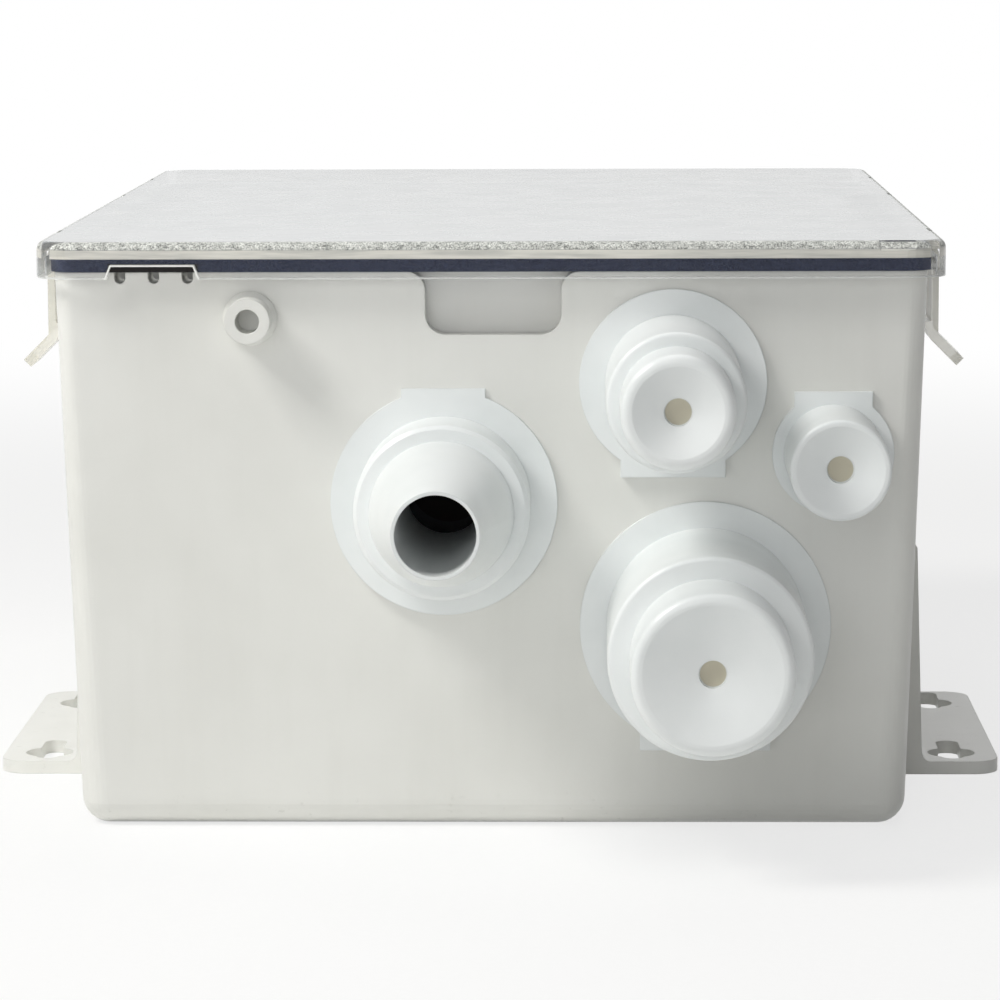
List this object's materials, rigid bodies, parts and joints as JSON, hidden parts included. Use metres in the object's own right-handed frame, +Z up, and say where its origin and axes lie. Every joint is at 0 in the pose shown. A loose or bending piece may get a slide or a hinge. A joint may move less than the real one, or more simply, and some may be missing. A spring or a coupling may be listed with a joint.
{
  "type": "shower sump pump",
  "caption": "Boxed sump that collects shower drain water under a clear latched lid and lifts it out with a float-switched pump through a check valve.",
  "frame": {"origin": "middle of the tank's underside, on the surface it stands on", "axes": "+Z up, the hose ports face -Y, +X to the right as seen from the ports"},
  "size_m": [0.263, 0.3736, 0.1455],
  "materials": {
    "white_shell": "satin moulded",
    "white_port": "satin moulded",
    "pump_white": "satin moulded",
    "clear_shell": "clear, rough edge",
    "clear_latch": "clear",
    "navy_foam": "closed-cell foam",
    "black_rubber": "matte",
    "hose_rubber": "smooth",
    "flap_rubber": "matte",
    "dark_plastic": "fine grain",
    "float_plastic": "fine grain",
    "motor_blue": "satin",
    "vane_plastic": "fine grain",
    "steel": "bright"
  },
  "bodies": {
    "tank": {"tank": "white_shell", "tank_foot_left": "white_shell", "tank_foot_right": "white_shell", "tank_nub": "white_shell", "filter_rails": "white_shell", "outlet_port": "white_port", "inlet_port_large": "white_port", "inlet_port_medium": "white_port", "inlet_port_small": "white_port", "wire_seal": "black_rubber", "pump_strainer": "dark_plastic", "pump_base_screws": "steel", "pump_volute": "pump_white", "discharge_hose": "hose_rubber", "pump_hose_clamp": "steel", "valve_hose_clamp": "steel", "hose_clamp_screws": "steel", "check_valve_body": "dark_plastic", "check_valve_pin": "steel", "float_bracket": "dark_plastic", "float_pivot_pin": "steel", "float_bracket_screws": "steel"},
    "lid": {"lid": "clear_shell", "lid_gasket": "navy_foam"},
    "motor": {"motor_cartridge": "motor_blue", "motor_cap": "dark_plastic", "motor_o_ring": "black_rubber", "pump_cable_gland": "dark_plastic"},
    "impeller": {"impeller": "vane_plastic", "impeller_shaft": "steel"},
    "check_valve_flap": {"check_valve_flap": "flap_rubber"},
    "float": {"float": "float_plastic"},
    "filter": {"filter_frame": "white_port", "filter_mesh": "dark_plastic"},
    "latch_left_front": {"latch_left_front": "clear_latch"},
    "latch_left_middle": {"latch_left_middle": "clear_latch"},
    "latch_left_rear": {"latch_left_rear": "clear_latch"},
    "latch_right_front": {"latch_right_front": "clear_latch"},
    "latch_right_middle": {"latch_right_middle": "clear_latch"},
    "latch_right_rear": {"latch_right_rear": "clear_latch"}
  },
  "joints": [
    {"name": "lid_lift", "type": "slide", "parent": "tank", "child": "lid", "axis": [0, 0, 1], "range_m": [0, 0.12]},
    {"name": "latch_left_front_hinge", "type": "hinge", "parent": "lid", "child": "latch_left_front", "pos_m": [-0.10875, -0.117, 0.1402], "axis": [0, 1, 0], "range_deg": [0, 75]},
    {"name": "latch_left_middle_hinge", "type": "hinge", "parent": "lid", "child": "latch_left_middle", "pos_m": [-0.10875, 0.025, 0.1402], "axis": [0, 1, 0], "range_deg": [0, 75]},
    {"name": "latch_left_rear_hinge", "type": "hinge", "parent": "lid", "child": "latch_left_rear", "pos_m": [-0.10875, 0.103, 0.1402], "axis": [0, 1, 0], "range_deg": [0, 75]},
    {"name": "latch_right_front_hinge", "type": "hinge", "parent": "lid", "child": "latch_right_front", "pos_m": [0.10875, -0.117, 0.1402], "axis": [0, -1, 0], "range_deg": [0, 75]},
    {"name": "latch_right_middle_hinge", "type": "hinge", "parent": "lid", "child": "latch_right_middle", "pos_m": [0.10875, 0.025, 0.1402], "axis": [0, -1, 0], "range_deg": [0, 75]},
    {"name": "latch_right_rear_hinge", "type": "hinge", "parent": "lid", "child": "latch_right_rear", "pos_m": [0.10875, 0.103, 0.1402], "axis": [0, -1, 0], "range_deg": [0, 75]},
    {"name": "motor_twist", "type": "hinge", "parent": "tank", "child": "motor", "pos_m": [-0.052, 0.04413, 0.0182], "axis": [0, 0, 1], "range_deg": [0, 32]},
    {"name": "impeller_spin", "type": "hinge", "parent": "motor", "child": "impeller", "pos_m": [-0.052, 0.04413, 0.0182], "axis": [0, 0, 1], "continuous": true},
    {"name": "flap_hinge", "type": "hinge", "parent": "tank", "child": "check_valve_flap", "pos_m": [-0.0114, -0.11257, 0.0935], "axis": [-1, 0, 0], "range_deg": [0, 60]},
    {"name": "float_hinge", "type": "hinge", "parent": "tank", "child": "float", "pos_m": [-0.07, -0.05787, 0.0202], "axis": [-1, 0, 0], "range_deg": [0, 40]},
    {"name": "filter_slide", "type": "slide", "parent": "tank", "child": "filter", "axis": [0, 0, 1], "range_m": [0, 0.015]}
  ]
}
